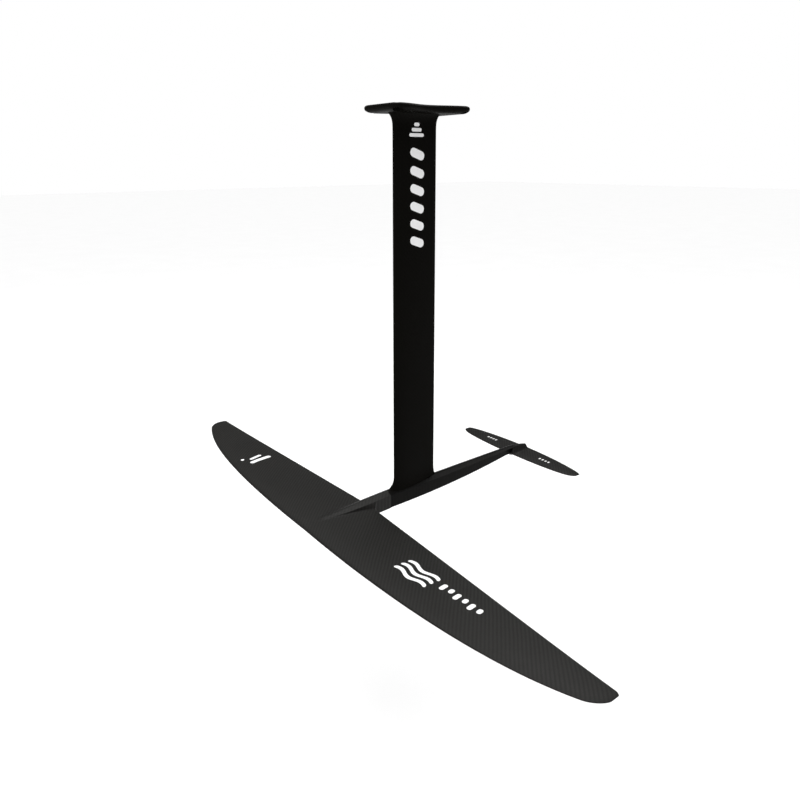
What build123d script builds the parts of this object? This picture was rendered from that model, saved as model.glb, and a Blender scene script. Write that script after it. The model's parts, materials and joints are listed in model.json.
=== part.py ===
from build123d import *
import os
from math import sqrt

# Hydrofoil for a board: a mast on a slotted plate, a fuselage, a high-aspect front wing and a stabilizer.
# Every moulded, bonded and bolted piece is its own solid. Sizes are millimetres.
# The origin is the centre of the mast plate's top face, the face that meets the board.
# +X points to the nose, +Y to port and +Z up to the board, so the whole foil hangs below z = 0.
# Shapes are drawn about the mast's own centre line. hand_over then moves each piece MAST_AHEAD forward.

# Mast plate
MAST_AHEAD = 7.5  # the mast's centre line stands this far ahead of the plate's centre
PLATE_LENGTH = 195.0
PLATE_WIDTH = 112.0
PLATE_WAIST = 18.0  # how far each long side is drawn in beside the mast
PLATE_THICKNESS = 14.0
PLATE_CORNER = 20.0
PLATE_LOWER_ROUND = 8.5
PLATE_UPPER_ROUND = 4.5
SLOT_PITCH_X = 165.0
SLOT_PITCH_Y = 90.0
SLOT_LENGTH = 14.0
SLOT_WIDTH = 8.5
SLOT_RECESS_WIDTH = 16.0
SLOT_RECESS_DEPTH = 5.0

# Mast blade, measured along its chord line at the plate and at the foot
MAST_LENGTH = 808.0
MAST_CHORD_TOP = 108.0
MAST_CHORD_FOOT = 117.5
MAST_THICKNESS = 15.0
MAST_SKIN = 2.4
MAST_TAIL_EDGE = 1.0
HEAD_FLARE_HEIGHT = 50.0
HEAD_FLARE_OUT = 14.0
FOOT_FLARE_HEIGHT = 34.0
FOOT_FLARE_NOSE = 16.0
FOOT_FLARE_TAIL = 6.0
FOOT_FLARE_SIDE = 5.0
FOOT_OVERLAP = 6.0  # the foot wraps this far down over the fuselage's sloping roof
SPAR_NOSE_X = 29.0
SPAR_TAIL_X = -3.0
MAST_CAVITY_TOP = -34.0
FOOT_BLOCK_TOP = -745.0
TENON_LENGTH = 100.0
TENON_WIDTH = 14.0
TENON_TOP = -810.6  # just under the fuselage's roof at the mortise
TENON_BOTTOM = -834.0

# Fuselage, whose nose tenon carries the front wing and whose tail carries the stabilizer
FUSELAGE_NOSE_X = 78.0
FUSELAGE_HALF_WIDTH = 15.0
TAIL_SHOULDER_X = -345.0
TAIL_SHOULDER_TOP = -807.4
TAIL_SHOULDER_HALF_WIDTH = 7.6
FUSELAGE_TAIL_X = -380.0
TAIL_TOP = -815.2
TAIL_BOTTOM = -822.5
TAIL_HALF_WIDTH = 4.2
NOSE_TENON_END_X = 168.0
NOSE_TENON_WIDTH = 20.0
NOSE_TENON_TOP = -822.0
NOSE_TENON_BOTTOM = -842.0
BOOM_CORE_FRONT_X = -85.0
BOOM_CORE_REAR_X = -290.0
BOOM_WALL = 3.5
TAIL_SEAT_Z = -819.3
TAIL_SEAT_FRONT_X = -318.0

# Front wing
WING_HALF_SPAN = 688.0
WING_LEVEL = -829.6  # height of the chord line at the root
WING_ROOT_NOSE_X = 295.5
WING_ROOT_TAIL_X = 127.5
WING_SKIN = 1.8
WING_TAIL_EDGE = 0.9
WING_TIP_ROUND_START = 0.955  # share of the half span where the tip starts to round off
WING_TIP_ROUND = 25.0
WING_SPAR_FRONT_X = 242.0
WING_SPAR_REAR_X = 222.0
WING_SPAR_SHARE = 0.78
HUB_NOSE_X = 258.0

# Stabilizer
STAB_HALF_SPAN = 199.0
STAB_LEVEL = -824.8
STAB_ROOT_NOSE_X = -321.0
STAB_ROOT_TAIL_X = -386.5
STAB_SKIN = 1.1
STAB_TAIL_EDGE = 0.7
STAB_PAD_LENGTH = 52.0
STAB_PAD_WIDTH = 17.0
STAB_PAD_TOP = -820.6
STAB_PAD_BOTTOM = -828.6
STAB_PAD_X = -346.0
SHIM_THICKNESS = 1.1

# Fits and fasteners
BOND_LINE = 0.15  # glue thickness between a core and its skin
SLIP = 0.15  # play on each side of a tenon in its socket
THREAD_PLAY = 0.05
M8_RADIUS = 4.0
M6_RADIUS = 3.0
BARREL_NUT_RADIUS = 6.0
BARREL_NUT_Z = -822.0
MAST_SCREW_XS = (-32.0, 0.0, 32.0)
MAST_BUSH_FACE = -845.4
WING_SCREW_XS = (96.0, 122.0, 148.0)
WING_BUSH_FACE = -847.4
STAB_SCREW_XS = (-331.0, -357.0)
STAB_BUSH_FACE = -828.4
MAST_BUSH_RADIUS = 9.4
MAST_BUSH_HEIGHT = 7.0
WING_BUSH_RADIUS = 7.4
WING_BUSH_HEIGHT = 5.0
STAB_BUSH_RADIUS = 6.9
STAB_BUSH_HEIGHT = 4.5
MAST_SCREW_LENGTH = 30.0
WING_SCREW_LENGTH = 17.0
STAB_SCREW_LENGTH = 16.5
M8_HEAD_RADIUS = 7.6
M8_HEAD_HEIGHT = 4.2
M6_HEAD_RADIUS = 5.8
M6_HEAD_HEIGHT = 3.2
SCREW_CLEARANCE = 0.3
DRILL_START_Z = -860.0  # below every piece that is drilled from underneath

# Fractions of the chord at which a section's curve is fixed, closer together round the nose
FOIL_STATIONS = (0, 0.012, 0.05, 0.13, 0.3, 0.5, 0.7, 0.87, 1)
WING_STATIONS = (0, 0.12, 0.26, 0.4, 0.54, 0.68, 0.8, 0.89, 0.945, 0.972, 0.989, 0.9975)
STAB_STATIONS = (0, 0.2, 0.4, 0.6, 0.8, 0.9, 0.97)


def half_thickness(s):
    """Half thickness of a foil section at fraction s of its chord, as a share of the largest."""
    return 10 * (0.2969 * sqrt(s) - 0.126 * s - 0.3516 * s**2 + 0.2843 * s**3 - 0.1036 * s**4)


def foil_side(nose, level, chord, height, edge):
    """Points of one side of a section from nose to tail. A negative height gives the lower side."""
    sign = 1 if height > 0 else -1
    rise = height - sign * edge
    return [(nose - chord * s, level + rise * half_thickness(s) + sign * edge * s) for s in FOIL_STATIONS]


def foil_face(nose, level, chord, up, down, edge):
    """A whole section: one curve from the tail round the nose and back, closed by a narrow flat."""
    upper = foil_side(nose, level, chord, up, edge)
    lower = foil_side(nose, level, chord, -down, edge)
    with BuildLine() as outline:
        Spline(*reversed(upper), *lower[1:])
        Line(upper[-1], lower[-1])
    make_face(outline.edges())


def skin_face(nose, level, chord, height, edge, skin):
    """Half a section as a thin shell with flats at nose and tail, where it is bonded to its other half."""
    sign = 1 if height > 0 else -1
    bond = level + sign * BOND_LINE / 2
    nose_land = min(2.2 * skin, 0.12 * chord)
    tail_land = min(7 * skin, 0.2 * chord)
    wall = min(skin, 0.4 * abs(height))
    edge = min(edge, 0.25 * abs(height))
    outer = foil_side(nose, bond, chord, height, edge)
    inner = foil_side(nose - nose_land, bond, chord - nose_land - tail_land, height - sign * wall, 0)
    tail = (nose - chord, bond)
    with BuildLine() as outline:
        Spline(*outer)
        Line(outer[-1], tail)
        Line(tail, inner[-1])
        Spline(*inner)
        Line(inner[0], outer[0])
    make_face(outline.edges())


def core_face(nose, level, chord, up, down, skin):
    """The section that the skins leave for the core, less the glue."""
    nose_land = min(2.2 * skin, 0.12 * chord) + 3 * BOND_LINE
    tail_land = min(7 * skin, 0.2 * chord) + 6 * BOND_LINE
    wall_up = min(skin, 0.4 * up) + 1.5 * BOND_LINE
    wall_down = min(skin, 0.4 * down) + 1.5 * BOND_LINE
    foil_face(nose - nose_land, level, chord - nose_land - tail_land, up - wall_up, down - wall_down, 0.02)


def wing_plane(y):
    """An upright plane along the chord, whose own x and y are the foil's X and Z."""
    return Plane(origin=(0, y, 0), x_dir=(1, 0, 0), z_dir=(0, -1, 0))


def frame_plane(x):
    """An upright plane across the fuselage, whose own x and y are the foil's Y and Z."""
    return Plane(origin=(x, 0, 0), x_dir=(0, 1, 0), z_dir=(1, 0, 0))


def wing_section(t):
    """Nose, level, chord, upper and lower height of the front wing at share t of its half span."""
    nose = WING_ROOT_NOSE_X + 11.9 * t - 45.5 * t**2 - 32.3 * t**4 - 20.2 * t**8
    tail = WING_ROOT_TAIL_X + 37.9 * t + 17.3 * t**2 - 11.3 * t**4 - 2.2 * t**8
    tip = max(0, (t - WING_TIP_ROUND_START) / (1 - WING_TIP_ROUND_START))
    nose -= WING_TIP_ROUND * (1 - sqrt(1 - tip**2))
    chord = nose - tail
    thickness = chord * (0.105 - 0.012 * t)
    level = WING_LEVEL + 14 * t**2 - 10 * t**4
    return nose, level, chord, 0.6 * thickness, 0.4 * thickness


def stab_section(t):
    """The same values for the stabilizer, which is nearly symmetric above and below."""
    nose = STAB_ROOT_NOSE_X - 12.1 * t**2 - 18.8 * t**6
    tail = STAB_ROOT_TAIL_X + 19.7 * t**2 + 10.5 * t**6
    chord = nose - tail
    thickness = 0.11 * chord
    return nose, STAB_LEVEL, chord, 0.48 * thickness, 0.52 * thickness


def fuselage_lines(x):
    """Top, bottom and half width of the fuselage behind its nose shoulder."""
    aft = -x
    top = -MAST_LENGTH + 0.0067 * aft
    bottom = -847.0 + 0.025 * aft + 0.000167 * aft**2
    half_width = FUSELAGE_HALF_WIDTH - 0.000064 * aft**2
    return top, bottom, half_width


def hub_lines(x):
    """Top, bottom and half width of the hub, which carries the fuselage's lines on into the wing."""
    ahead = x - FUSELAGE_NOSE_X
    top, bottom, half_width = fuselage_lines(FUSELAGE_NOSE_X)
    top -= 0.03 * ahead + 0.00018 * ahead**2
    bottom += 0.00065 * ahead**2 - 0.06 * ahead
    half_width *= sqrt(1 - (ahead / 192.0) ** 2)
    return top, bottom, half_width


def frame_face(top, bottom, half_width, inset=0):
    """Cross-section of the fuselage: a narrow ridge, a sloping roof, and sides that lean in to a flat keel."""
    top -= inset
    bottom += inset
    half_width -= inset
    height = top - bottom
    outline = [
        (0.22 * half_width, top),
        (half_width, top - 0.14 * height),
        (0.86 * half_width, bottom),
        (-0.86 * half_width, bottom),
        (-half_width, top - 0.14 * height),
        (-0.22 * half_width, top),
    ]
    Polygon(*outline, align=None)
    soft = min(half_width, height) / FUSELAGE_HALF_WIDTH
    fillet(vertices().group_by(Axis.Y)[0], 4.5 * soft)
    fillet(vertices().group_by(Axis.Y)[-1], 1.5 * soft)


def blade_face(z, nose_out=0, tail_out=0, side_out=0, edge=MAST_TAIL_EDGE):
    """The blade's section at height z, grown outwards where it flares or inwards for the cavity."""
    chord = MAST_CHORD_TOP + (MAST_CHORD_FOOT - MAST_CHORD_TOP) * -z / MAST_LENGTH
    nose = chord / 2 + nose_out
    half = MAST_THICKNESS / 2 + side_out
    foil_face(nose, 0, chord + nose_out + tail_out, half, half, edge)


def cavity_face(z, gap=0):
    """The section of the blade's cavity, or with a gap that of the pieces that fill it."""
    blade_face(z, -2 * MAST_SKIN - gap, -6 * MAST_SKIN - 3 * gap, -MAST_SKIN - gap, 0.05)


def make_screws(name, xs, face, radius, length, head_radius, head_height):
    """Countersunk screws that point up from below, each with a hexagon socket in its head."""
    places = [(x, 0) for x in xs]
    with BuildPart() as screws:
        with Locations(*[(x, 0, face) for x in xs]):
            Cylinder(radius, length, align=(Align.CENTER, Align.CENTER, Align.MIN))
        chamfer(edges().group_by(Axis.Z)[-1], 0.12 * radius)
        with Locations(*[(x, 0, face) for x in xs]):
            Cone(head_radius, radius, head_height, align=(Align.CENTER, Align.CENTER, Align.MIN))
        with BuildSketch(Plane.XY.offset(face)):
            with Locations(*places):
                RegularPolygon(0.62 * radius, 6)
        extrude(amount=0.8 * head_height, mode=Mode.SUBTRACT)
    hand_over(screws, name)


def make_bushes(name, xs, face, radius, height, bore, head_radius, head_height):
    """Flat-faced metal bushes, each with a cone for its screw's head."""
    with BuildPart() as bushes:
        with Locations(*[(x, 0, face) for x in xs]):
            Cylinder(radius, height, align=(Align.CENTER, Align.CENTER, Align.MIN))
            Cylinder(bore, height, align=(Align.CENTER, Align.CENTER, Align.MIN), mode=Mode.SUBTRACT)
            Cone(
                head_radius + THREAD_PLAY,
                bore,
                head_height,
                align=(Align.CENTER, Align.CENTER, Align.MIN),
                mode=Mode.SUBTRACT,
            )
    hand_over(bushes, name)


def make_inserts(name, xs, face, radius, height, bore):
    """Thread inserts: sleeves with a groove round the middle that keys them into the laminate."""
    places = [(x, 0) for x in xs]
    with BuildPart() as inserts:
        with Locations(*[(x, 0, face) for x in xs]):
            Cylinder(radius, height, align=(Align.CENTER, Align.CENTER, Align.MIN))
            Cylinder(bore, height, align=(Align.CENTER, Align.CENTER, Align.MIN), mode=Mode.SUBTRACT)
        with BuildSketch(Plane.XY.offset(face + 0.4 * height)):
            with Locations(*places):
                Circle(radius + 1)
            with Locations(*places):
                Circle(radius - 0.4, mode=Mode.SUBTRACT)
        extrude(amount=0.2 * height, mode=Mode.SUBTRACT)
    hand_over(inserts, name)


def drill_row(xs, bottom, top, radius):
    """Upright round holes cut between two heights."""
    with Locations(*[(x, 0, bottom) for x in xs]):
        Cylinder(radius, top - bottom, align=(Align.CENTER, Align.CENTER, Align.MIN), mode=Mode.SUBTRACT)


def hand_over(builder, name):
    """Move a finished piece from the mast's centre line to its place, label it and write it."""
    piece = Pos(MAST_AHEAD, 0, 0) * builder.part
    piece.label = name
    export_step(piece, f"parts/{name}.step")


os.makedirs("parts", exist_ok=True)

# ---------------------------------------------------------------- blanks that other pieces are cut to
with BuildPart() as fuselage_blank:
    for x in (FUSELAGE_NOSE_X, 0, -75, -150, -225, -300):
        with BuildSketch(frame_plane(x)):
            frame_face(*fuselage_lines(x))
    loft()
    boom_end = fuselage_lines(-300)
    with BuildSketch(frame_plane(-300)):
        frame_face(*boom_end)
    with BuildSketch(frame_plane(TAIL_SHOULDER_X)):
        frame_face(TAIL_SHOULDER_TOP, TAIL_BOTTOM, TAIL_SHOULDER_HALF_WIDTH)
    with BuildSketch(frame_plane(FUSELAGE_TAIL_X)):
        frame_face(TAIL_TOP, TAIL_BOTTOM, TAIL_HALF_WIDTH)
    loft()

with BuildPart() as hub_blank:
    for x in (FUSELAGE_NOSE_X, 105, 135, 165, 200, 232, HUB_NOSE_X):
        with BuildSketch(frame_plane(x)):
            frame_face(*hub_lines(x))
    loft()

# ---------------------------------------------------------------- mast
with BuildPart() as mast_shell:
    # Plate outline: straight ends, round corners and long sides drawn in to a waist
    half_length = PLATE_LENGTH / 2
    half_width = PLATE_WIDTH / 2
    plate_underside = Plane(origin=(-MAST_AHEAD, 0, -PLATE_THICKNESS))
    with BuildSketch(plate_underside):
        with BuildLine():
            for side in (1, -1):
                Spline(
                    (half_length - PLATE_CORNER, side * half_width),
                    (0, side * (half_width - PLATE_WAIST)),
                    (PLATE_CORNER - half_length, side * half_width),
                    tangents=[(-1, 0), (-1, 0)],
                )
            for end in (1, -1):
                corner_x = end * (half_length - PLATE_CORNER)
                corner_y = half_width - PLATE_CORNER
                Line((end * half_length, corner_y), (end * half_length, -corner_y))
                for side in (1, -1):
                    RadiusArc(
                        (corner_x, side * half_width),
                        (end * half_length, side * corner_y),
                        PLATE_CORNER * end * side,
                    )
        make_face()
    extrude(amount=PLATE_THICKNESS)
    fillet(faces().sort_by(Axis.Z)[0].outer_wire().edges(), PLATE_LOWER_ROUND)
    fillet(faces().sort_by(Axis.Z)[-1].outer_wire().edges(), PLATE_UPPER_ROUND)

    # Head flare, blade and foot flare
    flare_top = 2 - PLATE_THICKNESS
    flare_bottom = flare_top - HEAD_FLARE_HEIGHT
    for share in (0, 0.06, 0.14, 0.28, 0.5, 1):
        z = flare_top - share * HEAD_FLARE_HEIGHT
        out = HEAD_FLARE_OUT * (1 - share) ** 6
        with BuildSketch(Plane.XY.offset(z)):
            blade_face(z, out, out, 0.8 * out)
    loft()
    foot_top = FOOT_FLARE_HEIGHT - MAST_LENGTH
    for z in (flare_bottom, foot_top):
        with BuildSketch(Plane.XY.offset(z)):
            blade_face(z)
    loft(ruled=True)
    for share in (0, 0.35, 0.6, 0.8, 1):
        z = foot_top - share * (FOOT_FLARE_HEIGHT + FOOT_OVERLAP)
        grow = share**3
        with BuildSketch(Plane.XY.offset(z)):
            blade_face(z, FOOT_FLARE_NOSE * grow, FOOT_FLARE_TAIL * grow, FOOT_FLARE_SIDE * grow)
    loft()
    add(fuselage_blank.part, mode=Mode.SUBTRACT)

    # Cavity for the cores, open at the foot
    for z in (MAST_CAVITY_TOP, -MAST_LENGTH - FOOT_OVERLAP):
        with BuildSketch(Plane.XY.offset(z)):
            cavity_face(z)
    loft(ruled=True, mode=Mode.SUBTRACT)

    # Slots for the board's track bolts, each with a flat recess below for a washer
    slot_places = GridLocations(SLOT_PITCH_X, SLOT_PITCH_Y, 2, 2)
    with BuildSketch(plate_underside):
        with slot_places:
            SlotOverall(SLOT_LENGTH, SLOT_WIDTH)
    extrude(amount=PLATE_THICKNESS, mode=Mode.SUBTRACT)
    with BuildSketch(plate_underside):
        with slot_places:
            SlotOverall(SLOT_LENGTH + SLOT_RECESS_WIDTH - SLOT_WIDTH, SLOT_RECESS_WIDTH)
    extrude(amount=SLOT_RECESS_DEPTH, mode=Mode.SUBTRACT)
hand_over(mast_shell, "mast_shell")

with BuildPart() as mast_filling:
    for z in (MAST_CAVITY_TOP - 1, FOOT_BLOCK_TOP + 1):
        with BuildSketch(Plane.XY.offset(z)):
            cavity_face(z, BOND_LINE)
    loft(ruled=True)

with BuildPart() as mast_spar:
    add(mast_filling.part)
    with BuildSketch():
        with Locations(((SPAR_NOSE_X + SPAR_TAIL_X) / 2, 0)):
            Rectangle(SPAR_NOSE_X - SPAR_TAIL_X, 4 * MAST_THICKNESS)
    extrude(amount=-MAST_LENGTH, mode=Mode.INTERSECT)
hand_over(mast_spar, "mast_spar")

for name, inner_x, side in (("mast_nose_core", SPAR_NOSE_X, 1), ("mast_tail_core", SPAR_TAIL_X, -1)):
    with BuildPart() as mast_core:
        add(mast_filling.part)
        with BuildSketch():
            with Locations((inner_x + side * (MAST_CHORD_FOOT / 2 + BOND_LINE), 0)):
                Rectangle(MAST_CHORD_FOOT, 4 * MAST_THICKNESS)
        extrude(amount=-MAST_LENGTH, mode=Mode.INTERSECT)
    hand_over(mast_core, name)

with BuildPart() as mast_foot_block:
    for z in (FOOT_BLOCK_TOP, TENON_TOP):
        with BuildSketch(Plane.XY.offset(z)):
            cavity_face(z, BOND_LINE)
    loft(ruled=True)
    with BuildSketch(Plane.XY.offset(TENON_BOTTOM + SLIP)):
        SlotOverall(TENON_LENGTH, TENON_WIDTH)
    extrude(amount=TENON_TOP - TENON_BOTTOM - SLIP)
    chamfer(faces().sort_by(Axis.Z)[0].edges(), 1.0)
    drill_row(MAST_SCREW_XS, TENON_BOTTOM, BARREL_NUT_Z + 12, M8_RADIUS + SCREW_CLEARANCE)
    with BuildSketch(Plane.XZ.offset(-TENON_WIDTH)):
        with Locations(*[(x, BARREL_NUT_Z) for x in MAST_SCREW_XS]):
            Circle(BARREL_NUT_RADIUS + THREAD_PLAY)
    extrude(amount=2 * TENON_WIDTH, mode=Mode.SUBTRACT)
hand_over(mast_foot_block, "mast_foot_block")

with BuildPart() as mast_barrel_nuts:
    with BuildSketch(Plane.XZ.offset(0.3 - TENON_WIDTH / 2)):
        with Locations(*[(x, BARREL_NUT_Z) for x in MAST_SCREW_XS]):
            Circle(BARREL_NUT_RADIUS)
    extrude(amount=TENON_WIDTH - 0.6)
    chamfer(edges().filter_by(GeomType.CIRCLE), 0.5)
    drill_row(MAST_SCREW_XS, BARREL_NUT_Z - 10, BARREL_NUT_Z + 10, M8_RADIUS + THREAD_PLAY)
hand_over(mast_barrel_nuts, "mast_barrel_nuts")

make_screws(
    "mast_screws",
    MAST_SCREW_XS,
    MAST_BUSH_FACE,
    M8_RADIUS,
    MAST_SCREW_LENGTH,
    M8_HEAD_RADIUS,
    M8_HEAD_HEIGHT,
)
make_bushes(
    "mast_screw_bushes",
    MAST_SCREW_XS,
    MAST_BUSH_FACE,
    MAST_BUSH_RADIUS,
    MAST_BUSH_HEIGHT,
    M8_RADIUS + SCREW_CLEARANCE,
    M8_HEAD_RADIUS,
    M8_HEAD_HEIGHT,
)

# ---------------------------------------------------------------- fuselage
with BuildPart() as fuselage:
    add(fuselage_blank.part)
    # Nose tenon, with its end rounded to find the socket
    with BuildSketch(Plane.XY.offset(NOSE_TENON_BOTTOM)):
        with Locations(((FUSELAGE_NOSE_X - 10 + NOSE_TENON_END_X) / 2, 0)):
            Rectangle(NOSE_TENON_END_X - FUSELAGE_NOSE_X + 10, NOSE_TENON_WIDTH)
        fillet(vertices().group_by(Axis.X)[-1], 6)
    extrude(amount=NOSE_TENON_TOP - NOSE_TENON_BOTTOM)
    # Mortise for the mast's tenon
    with BuildSketch(Plane.XY.offset(TENON_BOTTOM)):
        SlotOverall(TENON_LENGTH + 2 * SLIP, TENON_WIDTH + 2 * SLIP)
    extrude(amount=-MAST_LENGTH - TENON_BOTTOM + 1, mode=Mode.SUBTRACT)
    # Flat seat under the tail for the stabilizer
    with BuildSketch(Plane.XY.offset(TAIL_SEAT_Z)):
        with Locations((TAIL_SEAT_FRONT_X - 50, 0)):
            Rectangle(100, 60)
    extrude(amount=-20, mode=Mode.SUBTRACT)
    # Foam-filled hollow in the boom
    for x in (BOOM_CORE_FRONT_X, -150, -220, BOOM_CORE_REAR_X):
        with BuildSketch(frame_plane(x)):
            frame_face(*fuselage_lines(x), BOOM_WALL)
    loft(mode=Mode.SUBTRACT)
    # Seats for bushes and thread inserts
    drill_row(MAST_SCREW_XS, DRILL_START_Z, MAST_BUSH_FACE + MAST_BUSH_HEIGHT, MAST_BUSH_RADIUS + THREAD_PLAY)
    drill_row(MAST_SCREW_XS, DRILL_START_Z, TENON_BOTTOM + 1, M8_RADIUS + SCREW_CLEARANCE)
    drill_row(WING_SCREW_XS, NOSE_TENON_BOTTOM, NOSE_TENON_BOTTOM + 14, 4.5 + THREAD_PLAY)
    drill_row(STAB_SCREW_XS, TAIL_SEAT_Z, TAIL_SEAT_Z + 9, 4.2 + THREAD_PLAY)
hand_over(fuselage, "fuselage")

with BuildPart() as boom_core:
    for x in (BOOM_CORE_FRONT_X - BOND_LINE, -150, -220, BOOM_CORE_REAR_X + BOND_LINE):
        with BuildSketch(frame_plane(x)):
            frame_face(*fuselage_lines(x), BOOM_WALL + 1.5 * BOND_LINE)
    loft()
hand_over(boom_core, "boom_core")

make_inserts("nose_thread_inserts", WING_SCREW_XS, NOSE_TENON_BOTTOM, 4.5, 13.0, M6_RADIUS + THREAD_PLAY)
make_inserts("tail_thread_inserts", STAB_SCREW_XS, TAIL_SEAT_Z, 4.2, 8.5, M6_RADIUS + THREAD_PLAY)

# ---------------------------------------------------------------- front wing
with BuildPart() as front_wing_spar:
    for t in (0, 0.26, 0.54, WING_SPAR_SHARE):
        nose, level, chord, up, down = wing_section(t)
        top = level + 0.9 * (up - WING_SKIN) - BOND_LINE
        bottom = level - 0.9 * (down - WING_SKIN) + BOND_LINE
        with BuildSketch(wing_plane(t * WING_HALF_SPAN)):
            with Locations(((WING_SPAR_FRONT_X + WING_SPAR_REAR_X) / 2, (top + bottom) / 2)):
                Rectangle(WING_SPAR_FRONT_X - WING_SPAR_REAR_X, top - bottom)
    loft()
    mirror(about=Plane.XZ)
hand_over(front_wing_spar, "front_wing_spar")

for name, side in (("front_wing_upper_skin", 1), ("front_wing_lower_skin", -1)):
    with BuildPart() as wing_skin:
        for t in WING_STATIONS:
            nose, level, chord, up, down = wing_section(t)
            with BuildSketch(wing_plane(t * WING_HALF_SPAN)):
                skin_face(nose, level, chord, up if side > 0 else -down, WING_TAIL_EDGE / 2, WING_SKIN)
        loft()
        mirror(about=Plane.XZ)
        add(hub_blank.part, mode=Mode.SUBTRACT)
    hand_over(wing_skin, name)

for name, side in (("front_wing_port_core", 1), ("front_wing_starboard_core", -1)):
    with BuildPart() as wing_core:
        for t in WING_STATIONS[:-3]:
            nose, level, chord, up, down = wing_section(t)
            with BuildSketch(wing_plane(side * t * WING_HALF_SPAN)):
                core_face(nose, level, chord, up, down, WING_SKIN)
        loft()
        with BuildSketch(Plane.XY.offset(WING_LEVEL - 40)):
            with Locations(((WING_SPAR_FRONT_X + WING_SPAR_REAR_X) / 2, 0)):
                Rectangle(
                    WING_SPAR_FRONT_X - WING_SPAR_REAR_X + 2 * BOND_LINE,
                    2 * (WING_SPAR_SHARE * WING_HALF_SPAN + BOND_LINE),
                )
        extrude(amount=80, mode=Mode.SUBTRACT)
        add(hub_blank.part, mode=Mode.SUBTRACT)
    hand_over(wing_core, name)

with BuildPart() as front_wing_hub:
    add(hub_blank.part)
    # Socket for the fuselage's nose tenon
    with BuildSketch(Plane.XY.offset(NOSE_TENON_BOTTOM - SLIP)):
        with Locations(((FUSELAGE_NOSE_X - 10 + NOSE_TENON_END_X + SLIP) / 2, 0)):
            Rectangle(NOSE_TENON_END_X + SLIP - FUSELAGE_NOSE_X + 10, NOSE_TENON_WIDTH + 2 * SLIP)
        fillet(vertices().group_by(Axis.X)[-1], 6)
    extrude(amount=NOSE_TENON_TOP - NOSE_TENON_BOTTOM + 2 * SLIP, mode=Mode.SUBTRACT)
    # Slot for the spar, which runs through the hub from wing to wing
    with BuildSketch(Plane.XZ.offset(-FUSELAGE_HALF_WIDTH - 5)):
        root_nose, root_level, root_chord, root_up, root_down = wing_section(0)
        with Locations(((WING_SPAR_FRONT_X + WING_SPAR_REAR_X) / 2, root_level + (root_up - root_down) / 2)):
            Rectangle(
                WING_SPAR_FRONT_X - WING_SPAR_REAR_X + 2 * BOND_LINE,
                root_up + root_down - 2 * WING_SKIN,
            )
    extrude(amount=2 * FUSELAGE_HALF_WIDTH + 10, mode=Mode.SUBTRACT)
    drill_row(WING_SCREW_XS, DRILL_START_Z, WING_BUSH_FACE + WING_BUSH_HEIGHT, WING_BUSH_RADIUS + THREAD_PLAY)
    drill_row(WING_SCREW_XS, DRILL_START_Z, NOSE_TENON_BOTTOM, M6_RADIUS + SCREW_CLEARANCE)
hand_over(front_wing_hub, "front_wing_hub")

make_screws(
    "front_wing_screws",
    WING_SCREW_XS,
    WING_BUSH_FACE,
    M6_RADIUS,
    WING_SCREW_LENGTH,
    M6_HEAD_RADIUS,
    M6_HEAD_HEIGHT,
)
make_bushes(
    "front_wing_screw_bushes",
    WING_SCREW_XS,
    WING_BUSH_FACE,
    WING_BUSH_RADIUS,
    WING_BUSH_HEIGHT,
    M6_RADIUS + SCREW_CLEARANCE,
    M6_HEAD_RADIUS,
    M6_HEAD_HEIGHT,
)

# ---------------------------------------------------------------- stabilizer
with BuildPart() as stabilizer_pad:
    with BuildSketch(Plane.XY.offset(STAB_PAD_BOTTOM)):
        with Locations((STAB_PAD_X, 0)):
            SlotOverall(STAB_PAD_LENGTH, STAB_PAD_WIDTH)
    extrude(amount=STAB_PAD_TOP - STAB_PAD_BOTTOM)
    drill_row(STAB_SCREW_XS, DRILL_START_Z, STAB_BUSH_FACE + STAB_BUSH_HEIGHT, STAB_BUSH_RADIUS + THREAD_PLAY)
    drill_row(STAB_SCREW_XS, -835, STAB_PAD_TOP + 1, M6_RADIUS + SCREW_CLEARANCE)
hand_over(stabilizer_pad, "stabilizer_pad")

for name, side in (("stabilizer_upper_skin", 1), ("stabilizer_lower_skin", -1)):
    with BuildPart() as stab_skin:
        for t in STAB_STATIONS:
            nose, level, chord, up, down = stab_section(t)
            with BuildSketch(wing_plane(t * STAB_HALF_SPAN)):
                skin_face(nose, level, chord, up if side > 0 else -down, STAB_TAIL_EDGE / 2, STAB_SKIN)
        loft()
        mirror(about=Plane.XZ)
        with BuildSketch(Plane.XY.offset(STAB_LEVEL - 20)):
            with Locations((STAB_PAD_X, 0)):
                SlotOverall(STAB_PAD_LENGTH + 2 * BOND_LINE, STAB_PAD_WIDTH + 2 * BOND_LINE)
        extrude(amount=40, mode=Mode.SUBTRACT)
    hand_over(stab_skin, name)

with BuildPart() as stabilizer_core:
    for t in STAB_STATIONS[:-2]:
        nose, level, chord, up, down = stab_section(t)
        with BuildSketch(wing_plane(t * STAB_HALF_SPAN)):
            core_face(nose, level, chord, up, down, STAB_SKIN)
    loft()
    mirror(about=Plane.XZ)
    with BuildSketch(Plane.XY.offset(STAB_LEVEL - 20)):
        with Locations((STAB_PAD_X, 0)):
            SlotOverall(STAB_PAD_LENGTH + 2 * BOND_LINE, STAB_PAD_WIDTH + 2 * BOND_LINE)
    extrude(amount=40, mode=Mode.SUBTRACT)
hand_over(stabilizer_core, "stabilizer_core")

with BuildPart() as stabilizer_shim:
    with BuildSketch(Plane.XY.offset(STAB_PAD_TOP + 0.1)):
        with Locations((STAB_PAD_X, 0)):
            SlotOverall(STAB_PAD_LENGTH - 1, STAB_PAD_WIDTH - 4)
        with Locations(*[(x, 0) for x in STAB_SCREW_XS]):
            Circle(M6_RADIUS + SCREW_CLEARANCE, mode=Mode.SUBTRACT)
    extrude(amount=SHIM_THICKNESS)
hand_over(stabilizer_shim, "stabilizer_shim")

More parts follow.
